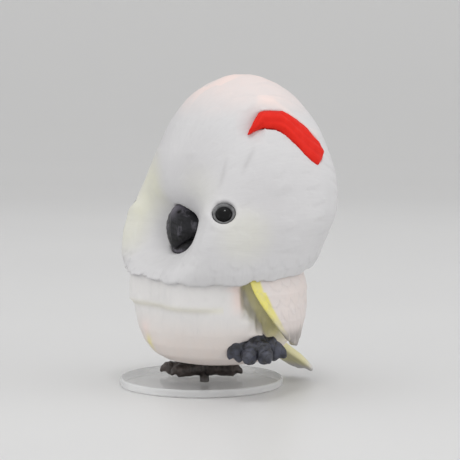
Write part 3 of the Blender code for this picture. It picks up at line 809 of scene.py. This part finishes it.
def dress_body(material):
    """Body with feathers that run outward from the beak on the head, and hang down on the hem
    and the belly."""
    piece = node_copy("body", "plumage_body", BODY_MESH)
    even_out(piece)
    co = points(piece)
    out = normals(piece)
    angle, height = around(co)
    side_angle = np.abs(angle)
    level = np.stack([np.sin(np.radians(angle)), -np.cos(np.radians(angle)),
                      np.zeros(len(angle))], axis=1)
    facing = np.maximum(dot(out, level), dot(out, unit(co - np.array(DOME))) * 0.9)
    shown = ease(facing, 0.15, 0.5)

    # How far each point belongs to each zone
    above_hem = height - hem_at(angle)
    on_hood = ease(above_hem, *HOOD_EDGE)
    fringe = on_hood * (1 - ease(above_hem, *FRINGE_END))
    on_head = on_hood * (1 - fringe)
    belly = 1 - on_hood
    low_belly = 1 - ease(height, *LOW_BELLY_END)
    breast = belly * ease(height, BREAST_HEM - 0.2, BREAST_HEM + 0.2) * (side_angle < BREAST_SIDES)
    back = ease(side_angle, *BACK_START)
    crown = ease(height, *CROWN_START)
    behind_edge = side_angle - table(WING_FRONT, height)
    flank = belly * ease(behind_edge, *FLANK_BEHIND_EDGE) * (1 - ease(side_angle, *FLANK_END))
    shoulder = belly * bell(side_angle, *SHOULDER_ANGLE) * ease(height, *SHOULDER_START)

    # Feathers and the relief that they give
    from_beak = co - np.array(BEAK_ROOT)
    reach = np.linalg.norm(from_beak, axis=1)
    turn = np.arctan2(from_beak[:, 0], from_beak[:, 2]) / (2 * math.pi) + 0.5
    head, shade = feathers(turn, reach, head_circle, *HEAD_FEATHERS)
    hanging, _ = feathers(angle / 360.0 + 0.5, HANGING_TOP - height, even_circle(BODY_CIRCLE),
                          *HANGING_FEATHERS)
    feather = head * on_head + hanging * (1 - on_head)
    depth = (HEAD_RELIEF * on_head + BACK_RELIEF * back + FRINGE_RELIEF * fringe
             + BELLY_RELIEF * belly + BREAST_RELIEF * breast)
    partings = strokes(angle, height, PARTINGS, PARTING_WIDTH)
    tufts = strokes(angle, height, TUFTS, TUFT_WIDTH)
    above_crest = height - table(CREST_LINE, side_angle)
    lip = (bell(above_crest, *LIP_ABOVE_LINE) * ease(above_crest, *LIP_START)
           * window(side_angle, *LIP_ANGLES))
    rise = (depth * (0.4 + 0.6 * ease(reach, *CALM_ROUND_BEAK)) * (feather - 0.55)
            - PARTING_DEPTH * partings + TUFT_RISE * tufts + eye_collars(co) + CREST_LIP * lip)
    move(piece, co + out * (rise * shown)[:, None])

    # Tints
    breast_line = bell(height, BREAST_HEM, 0.5) * (side_angle < BREAST_SIDES)
    # Painted shade between overlapping feathers and along the partings
    creases = (0.25 * ease(0.62 - feather, 0.0, 0.5) * (0.25 + fringe) + 0.30 * partings)
    paint_plumage(
        piece,
        flow_head=barb_places(turn * 330.0, reach),
        flow_down=barb_places(angle * 0.85, height),
        on_head=on_head,
        warm=belly * (0.10 + 0.55 * (1 - ease(height, *WARM_BELLY_END)) + 0.20 * low_belly),
        # Painted light: lighter paint lifting the belly out of the hood's shade, less of it low
        # down
        fair=belly * (0.9 - 0.4 * low_belly),
        # Painted shade: grey laid over the temples and the forehead
        shade=on_hood * np.clip(0.55 * patch(side_angle, height, TEMPLE_SHADE)
                                + 0.35 * patch(side_angle, height, FOREHEAD_SHADE), 0, 1),
        pink=np.clip(crown * (0.7 + 0.6 * (shade - 0.5)) + 0.80 * shoulder + 0.35 * lip
                     + 0.5 * belly * patch(angle, height, ROSY_SPOT), 0, 1),
        cream=np.clip(sum(share * spot(co, place, radius)
                          for place, radius, share in CREAM_PLACES), 0, 1),
        yellow=belly * (0.11 * breast_line + 0.55 * patch(angle, height, GOLD_SPOT)),
        olive=0.85 * flank * ease(height, *FLANK_START),
        # painted shade in the creases and hollows
        groove=np.clip(shown * creases + 0.8 * hollows(piece), 0, 1))
    return show(piece, material, "white_plumage", "body")


def dress_wing(side, material):
    """Wing with short coverts above and long quills below, yellow on its front edge."""
    piece = node_copy(f"wing_{side}", f"plumage_wing_{side}", WING_MESH)
    co = points(piece)
    out = normals(piece)
    angle, height = around(co)
    angle = np.abs(angle)
    facing = dot(out, level_out(co))
    outside = ease(facing, 0.2, 0.6)
    inside = ease(-facing, -0.35, 0.15)

    # Feathers and the relief that they give
    run = WING_TOP - height + (angle - WING_MIDDLE) * WING_ROWS_RISE
    across = angle / 360.0 - (WING_TOP - height) * WING_ROWS_SWEEP
    coverts, covert_shade = feathers(across, run, even_circle(WING_CIRCLE), *COVERTS)
    quills, quill_shade = feathers(across, run, even_circle(WING_CIRCLE), *QUILLS)
    long = ease(run, *QUILLS_START)
    feather = coverts * (1 - long) + quills * long
    shade = covert_shade * (1 - long) + quill_shade * long
    rise = (COVERT_RELIEF + QUILL_EXTRA_RELIEF * long) * (feather - 0.6) * outside
    move(piece, co + out * rise[:, None])

    # Tints
    from_front = (angle - table(WING_FRONT, height)) * WING_MM_PER_DEGREE
    narrow, wide = BAND_WIDTH
    band = narrow + (wide - narrow) * ease(height, *BAND_GROWTH)
    edge = 1 - ease(from_front, band, band + BAND_FADE)
    tip = 1 - ease(height, *WING_TIP_END)
    end = 1 - ease(height, *WING_DUSK_END)
    flow = barb_places(across * 330.0, run)
    paint_plumage(
        piece, flow_head=flow, flow_down=flow, fair=0.10,
        warm=0.45 + 0.25 * (shade - 0.5) + 0.3 * tip,
        pink=0.20 * outside * (1 - tip),
        yellow=np.clip(np.maximum(edge * (0.15 + 0.8 * ease(height, *YELLOW_START)),
                                  0.6 * inside), 0, 1),
        olive=0.45 * inside * ease(from_front, *OLIVE_START),
        dusk=np.clip(0.95 * end * np.maximum(outside, 0.8 * edge) * (0.6 + 0.6 * shade), 0, 1),
        # painted shade between the feathers and in the hollows
        groove=np.clip(0.35 * outside * ease(0.6 - feather, 0.0, 0.5) + 0.5 * hollows(piece),
                       0, 1))
    return show(piece, material, "wing_plumage", f"wing_{side}")


def dress_tail(material):
    """Tail with straight quills, yellow at its root and dusky at its end."""
    piece = node_copy("tail", "plumage_tail", TAIL_MESH)
    co = points(piece)
    out = normals(piece)
    aside = co[:, 0] - BODY[0]
    behind = co[:, 1] - BODY[1]
    quill = np.abs(np.sin(math.pi * aside / TAIL_QUILL_WIDTH))
    ridge = TAIL_RELIEF * (quill ** 0.5 - 0.6) * ease(np.abs(out[:, 2]), 0.2, 0.6)
    move(piece, co + out * ridge[:, None])
    root = 1 - ease(behind, *TAIL_ROOT_END)
    end = ease(behind, *TAIL_END_START)
    flow = barb_places(aside * 3.2, behind)
    paint_plumage(piece, flow_head=flow, flow_down=flow, fair=0.5, warm=0.15,
                  yellow=0.60 * root, olive=0.50 * root, dusk=0.22 + 0.25 * end,
                  # painted shade between the quills, and darker towards the tail's end
                  groove=np.clip(0.35 * ease(0.5 - quill, 0.0, 0.4) + 0.35 * end, 0, 1))
    return show(piece, material, "tail_plumage", "tail")


def dress_crest(side, material):
    """Red tuft, fuller towards its rear end and drawn out to a point at its front end."""
    piece = node_copy(f"crest_{side}", f"red_crest_{side}", CREST_MESH)
    co = points(piece)
    out = normals(piece)
    angle, height = around(co)
    angle = np.abs(angle)
    over = height - table(CREST_LINE, angle)
    strand = np.sin(over * 4.2 + np.sin(angle * 0.13) * 1.6)
    radial = level_out(co, 4.0)
    outside = ease(dot(out, radial), 0.2, 0.6)
    sideways = np.stack([-radial[:, 1], radial[:, 0], np.zeros(len(co))], axis=1)
    upward = np.cross(unit(co - np.array(DOME)), sideways)
    upward = unit(upward) * np.sign(upward[:, 2:3])
    wider = window(angle, *CREST_WIDER) * (0.50 * over - 0.30)
    pointed = 0.75 * (1 - ease(angle, *CREST_POINT)) * np.clip(over + 0.9, 0.0, None)
    move(piece, co + out * (STRAND_RELIEF * strand * outside)[:, None]
         + upward * (wider - pointed)[:, None])
    paint(piece, flow_head=barb_places(over * 3.4, angle, 0.12),
          # painted shade in the troughs between strands and on the sides that face away
          edge=0.35 * ease(-strand, 0.2, 1.0) + 0.5 * (1 - outside))
    return show(piece, material, "red_crest", f"crest_{side}")


# Beak, eyes, feet and disc

def dress_beak(material):
    """Beak with growth lines and nostrils, both halves in one."""
    piece = node_copy("beak", "horn_beak", BEAK_MESH)
    co = points(piece)
    out = normals(piece)
    height = co[:, 2] - DISC_TOP - FACE_HEIGHT
    forward = BODY[1] + 2.0 - co[:, 1]
    aside = np.abs(co[:, 0] - BODY[0])
    nostril = bell(height, NOSTRIL[0], NOSTRIL_WIDTH) * bell(aside, NOSTRIL[1], NOSTRIL_WIDTH)
    growth = (0.03 * np.sin(forward * 3.2 + height * 2.5)
              + 0.02 * np.sin(height * 7.0 + aside * 2.0))
    move(piece, co + out * (growth - NOSTRIL_DEPTH * nostril)[:, None])
    lower_rim = bell(height, *LOWER_RIM) * (1 - ease(aside, *LOWER_RIM_SIDES))
    ridge = 1 - ease(aside + 0.35 * forward, *RIDGE_SIDES)
    gape = bell(height - GAPE_SLOPE * aside, *GAPE)
    paint(piece,
          # painted highlight along the ridge and on the lower beak's rim
          pale=np.clip(ease(height, *RIDGE_START) * ridge + 0.6 * lower_rim, 0, 1),
          # painted shade in the nostrils, the gape and the creases
          groove=np.clip(nostril + 0.7 * gape + 2.0 * hollows(piece), 0, 1))
    return show(piece, material, "dark_horn", "beak")


def dress_eye(side, material):
    """Eye turned at a fine step about the axis of its CAD solid: skin ring and domed bead."""
    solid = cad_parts[f"eye_{side}"].data
    co = np.unique((np.array([list(v.co) for v in solid.vertices]) / MM).round(4), axis=0)
    middle = co.mean(axis=0)
    _, ways = np.linalg.eigh(np.cov((co - middle).T))
    axis = ways[:, 0]
    if axis @ (middle - np.array([BODY[0], BODY[1], middle[2]])) < 0:
        axis = -axis
    seat = middle + axis * (((co - middle) @ axis).max() - EYE_SEAT_TO_TIP - EYE_DEEPER)
    up = np.cross(axis, np.cross([0.0, 0.0, 1.0], axis))
    up /= np.linalg.norm(up)
    outline = [*EYE_RING_OUTLINE,
               *((BEAD_RISE * math.sin(t), BEAD_RADIUS * math.cos(t), 1, BEAD_DROP)
                 for t in np.linspace(0.12, 1.5, 12))]
    centres = [seat + axis * rise - up * drop for rise, _, _, drop in outline]
    radii = [radius for _, radius, _, _ in outline]
    piece = turned(f"eye_{side}_painted", centres, radii, np.cross(up, axis), up, EYE_STEPS)
    paint(piece, bead=np.repeat([black for _, _, black, _ in outline], EYE_STEPS))
    return show(piece, material, "dark_eye", f"eye_{side}")


def taller_toes(co, centre):
    """Extra height of the raised foot's side toes, none in its middle."""
    aside = (co[:, :2] - np.array(centre)) @ np.array(TOES_ASIDE)
    above_sole = co[:, 2] - co[:, 2].min() - 0.2
    taller = np.where(aside < 0, *RAISED_TALLER) * ease(np.abs(aside), *TOES_START)
    return (taller * np.clip(2.6 - 0.5 * above_sole, 0.0, 1.0)
            * np.clip(above_sole, 0.0, RAISED_HEIGHT))


def dress_foot(side, centre, material):
    """Foot with rings of scales round its toes."""
    piece = node_copy(f"{side}_foot", f"scaled_{side}_foot", FOOT_MESH)
    co = points(piece)
    out = normals(piece)
    far = np.linalg.norm(co[:, :2] - np.array(centre), axis=1)
    ring = np.abs(np.sin(far * SCALE_RINGS)) ** 0.5
    top = ease(out[:, 2], -0.5, 0.2)
    lump = np.sin(co[:, 0] * 5.1) * np.sin(co[:, 1] * 4.7) * np.sin(co[:, 2] * 4.3)
    off_disc = ease(co[:, 2], DISC_TOP + 0.2, DISC_TOP + 0.6)
    rise = SCALE_RELIEF * (ring - 0.7) * top + SKIN_LUMPS * lump
    if side == "left":
        rise = rise + RAISED_FULLER
        co[:, 2] += taller_toes(co, centre)
    move(piece, co + out * (rise * off_disc)[:, None])
    # Painted shade between the rings of scales and in the hollows
    paint(piece, groove=np.clip(0.6 * ease(0.55 - ring, 0.0, 0.4) * top + hollows(piece), 0, 1))
    return show(piece, material, "grey_skin", f"{side}_foot")


def dress_disc(material):
    """Disc turned at a fine step, its rim rounded over on both faces."""
    flat = DISC_RADIUS - DISC_EDGE
    lower = [(DISC_EDGE * (1 - math.cos(a)), flat + DISC_EDGE * math.sin(a))
             for a in np.radians(np.linspace(0.0, 90.0, 6))]
    outline = lower + [(DISC_TOP - z, radius) for z, radius in reversed(lower)]
    piece = turned("clear_disc", [(0.0, 0.0, z) for z, _ in outline],
                   [radius for _, radius in outline], (1.0, 0.0, 0.0), (0.0, 1.0, 0.0),
                   DISC_STEPS)
    co = points(piece)
    paint(piece, rim=ease(np.hypot(co[:, 0], co[:, 1]), flat - 0.02, DISC_RADIUS - 0.2))
    show(piece, material, "clear_disc", "base_disc")
    for polygon in piece.data.polygons:
        polygon.use_smooth = len(polygon.vertices) == 4
    return piece


# Stage

def stage():
    """Pale table that curves up into a pale backdrop, darker far off with painted shade, soft
    lamps and daylight all round.
    """
    turn = math.radians(CAMERA_TURN)
    away = Vector((-math.sin(turn), math.cos(turn), 0.0))
    across = Vector((math.cos(turn), math.sin(turn), 0.0))
    upward = Vector((0.0, 0.0, 1.0))

    line = [(forward, 0.0) for forward in TABLE_ROWS]
    line += [(TABLE_ROWS[-1] + BEND_RADIUS * math.sin(a), BEND_RADIUS * (1 - math.cos(a)))
             for a in np.radians(np.linspace(7.5, 90.0, 12))]
    line.append((TABLE_ROWS[-1] + BEND_RADIUS, BACKDROP_TOP))
    shape = bmesh.new()
    rows = [[shape.verts.new(away * forward + across * aside + upward * (up - TABLE_BELOW))
             for aside in (-TABLE_HALF_WIDTH, TABLE_HALF_WIDTH)] for forward, up in line]
    for near, far in zip(rows, rows[1:]):
        shape.faces.new((near[0], near[1], far[1], far[0]))
    mesh = bpy.data.meshes.new("table_and_backdrop")
    shape.to_mesh(mesh)
    shape.free()
    for polygon in mesh.polygons:
        polygon.use_smooth = True
    ground = new_piece("table_and_backdrop", mesh)
    paint(ground, distance=ease(points(ground) @ np.array(away), *FAR_TABLE_SPAN))

    nodes = Nodes("pale_table")
    clouds = nodes.noise(scale=14.0, detail=2.0, rough=0.5)
    colour = nodes.mottled(clouds, NEAR_TABLE)
    # Painted shade: the table and backdrop grow darker away from the disc
    colour = nodes.mix(nodes.value("distance"), colour, FAR_TABLE_SHADE)
    rough = nodes.span(clouds, NOISE_LOW, NOISE_HIGH, 0.34, 0.40)
    mesh.materials.append(nodes.finish(colour, rough))

    for name, (right, ahead, up), size, power in LAMPS:
        lamp(name, across * right + away * ahead + upward * up, size, power)

    world = bpy.data.worlds.new("pale_room")
    world.use_nodes = True
    world.node_tree.nodes["Background"].inputs[0].default_value = DAYLIGHT
    world.node_tree.nodes["Background"].inputs[1].default_value = DAYLIGHT_STRENGTH
    bpy.context.scene.world = world


def lamp(name, place, size, power):
    """Round soft lamp aimed at the bird."""
    data = bpy.data.lights.new(name, "AREA")
    data.shape = "DISK"
    data.size = size
    data.energy = power
    made = new_piece(name, data)
    made.location = place
    made.rotation_euler = (Vector(LAMP_AIM) - place).to_track_quat("-Z", "Y").to_euler()


def camera():
    """Camera that puts the middle of the disc's top at its pixel in the photograph."""
    turn = math.radians(CAMERA_TURN)
    pitch = math.radians(CAMERA_PITCH)
    back = Vector((math.sin(turn) * math.cos(pitch), -math.cos(turn) * math.cos(pitch),
                   math.sin(pitch)))
    right = Vector((math.cos(turn), math.sin(turn), 0.0))
    up = back.cross(right)
    disc_right = (DISC_CENTRE_PIXEL[0] - FRAME_PIXELS / 2) * MM_PER_PIXEL
    disc_up = (FRAME_PIXELS / 2 - DISC_CENTRE_PIXEL[1]) * MM_PER_PIXEL
    place = (Vector((0, 0, DISC_TOP)) + back * CAMERA_DISTANCE - right * disc_right
             - up * disc_up) * MM
    data = bpy.data.cameras.new("camera")
    data.sensor_width = SENSOR
    data.lens = SENSOR * CAMERA_DISTANCE / (MM_PER_PIXEL * FRAME_PIXELS)
    data.clip_start = 0.01
    data.clip_end = 20.0
    made = new_piece("camera", data)
    made.matrix_world = Matrix((
        (right.x, up.x, back.x, place.x),
        (right.y, up.y, back.y, place.y),
        (right.z, up.z, back.z, place.z),
        (0.0, 0.0, 0.0, 1.0)))
    bpy.context.scene.camera = made


def build():
    plumage = plumage_material()
    dress_body(plumage)
    red = crest_material()
    eye = eye_material()
    for side in ("left", "right"):
        dress_wing(side, plumage)
        dress_crest(side, red)
        dress_eye(side, eye)
    dress_tail(plumage)
    dress_beak(horn_material())
    # The standing foot's copy holds painted warm light from the belly
    dress_foot("right", RIGHT_FOOT, skin_material("foot_paint_right", STANDING_SKIN_AND_BOUNCE))
    dress_foot("left", LEFT_FOOT, skin_material("foot_paint_left", RAISED_SKIN))
    dress_disc(clear_material())
    stage()
    camera()


build()
bpy.context.scene.view_settings.view_transform = "Standard"
